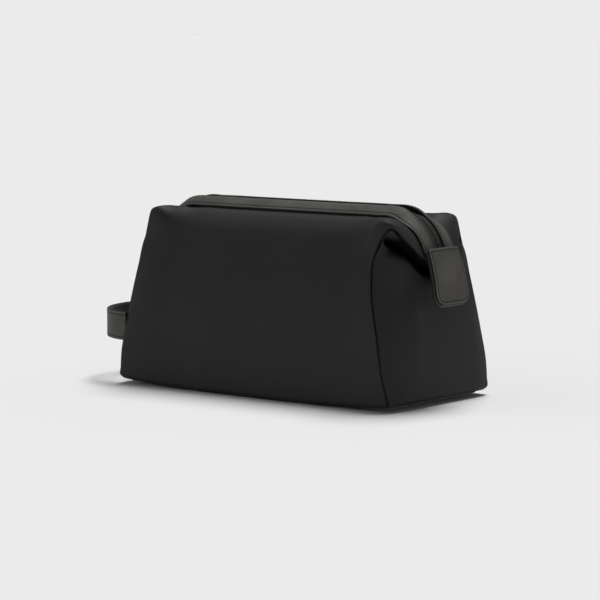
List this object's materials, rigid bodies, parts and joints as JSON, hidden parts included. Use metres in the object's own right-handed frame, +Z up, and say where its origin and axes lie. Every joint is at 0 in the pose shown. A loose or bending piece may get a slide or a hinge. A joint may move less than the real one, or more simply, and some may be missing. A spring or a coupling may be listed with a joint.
{
  "type": "shaving kit bag",
  "caption": "Soft zip-top wash bag with sloping walls, leather trim along the zip, folded leather tabs over the drooping zip ends and a leather carry loop at one end.",
  "frame": {"origin": "centre of the base, on the surface that the bag stands on", "axes": "+X along the zip, away from the carry loop; -Y out of the front; +Z up"},
  "size_m": [0.3253, 0.128, 0.1443],
  "materials": {
    "body_skin": "smooth matte soft-touch coated fabric, near black",
    "trim_leather": "matte brushed leather, dark olive grey, with painted edges and dark stitching",
    "zip_tape": "woven tape, near black",
    "zip_coil": "black nylon coil",
    "zip_metal": "dark gunmetal, satin",
    "lining": "plain woven lining, dark grey",
    "base_board": "stiffening board, hidden between the base panel and the lining"
  },
  "bodies": {
    "root": {"front_panel": "body_skin", "front_lining": "lining", "front_left_zip_end_panel": "body_skin", "front_left_trim_end": "trim_leather", "front_left_tape_end": "zip_tape", "front_right_zip_end_panel": "body_skin", "front_right_trim_end": "trim_leather", "front_right_tape_end": "zip_tape", "back_panel": "body_skin", "back_lining": "lining", "back_left_zip_end_panel": "body_skin", "back_left_trim_end": "trim_leather", "back_left_tape_end": "zip_tape", "back_right_zip_end_panel": "body_skin", "back_right_trim_end": "trim_leather", "back_right_tape_end": "zip_tape", "left_end_panel": "body_skin", "left_end_lining": "lining", "left_tab_outer": "trim_leather", "left_tab_under": "trim_leather", "left_zip_stop": "zip_metal", "right_end_panel": "body_skin", "right_end_lining": "lining", "right_tab_outer": "trim_leather", "right_tab_under": "trim_leather", "right_zip_stop": "zip_metal", "base_panel": "body_skin", "base_board": "base_board", "base_lining": "lining"},
    "front_flap": {"front_roof_flap": "body_skin", "front_roof_lining": "lining", "front_trim": "trim_leather", "front_zip_tape": "zip_tape", "front_zip_coil": "zip_coil"},
    "back_flap": {"back_roof_flap": "body_skin", "back_roof_lining": "lining", "back_trim": "trim_leather", "back_zip_tape": "zip_tape", "back_zip_coil": "zip_coil"},
    "slider": {"zip_slider": "zip_metal"},
    "puller": {"zip_puller": "zip_metal", "leather_pull": "trim_leather"},
    "carry_loop": {"loop_outer_strap": "trim_leather", "loop_inner_strap": "trim_leather"}
  },
  "joints": [
    {"name": "front_flap_fold", "type": "hinge", "parent": "root", "child": "front_flap", "pos_m": [0, -0.0465, 0.111], "axis": [1, 0, 0], "range_deg": [0, 52], "stiffness_Nm_per_rad": 0.02},
    {"name": "back_flap_fold", "type": "hinge", "parent": "root", "child": "back_flap", "pos_m": [0, 0.0465, 0.111], "axis": [-1, 0, 0], "range_deg": [0, 52], "stiffness_Nm_per_rad": 0.02},
    {"name": "slider_travel", "type": "slide", "parent": "root", "child": "slider", "axis": [1, 0, 0], "range_m": [0, 0.18]},
    {"name": "puller_swing", "type": "hinge", "parent": "slider", "child": "puller", "pos_m": [-0.09, 0, 0.14245], "axis": [0, -1, 0], "range_deg": [0, 150]},
    {"name": "carry_loop_swing", "type": "hinge", "parent": "root", "child": "carry_loop", "pos_m": [-0.13, 0, 0.044], "axis": [0, 1, 0], "range_deg": [-25, 50], "stiffness_Nm_per_rad": 0.4}
  ],
  "couplings": [
    {"joint": "back_flap_fold", "follows": "front_flap_fold", "ratio": 1}
  ]
}
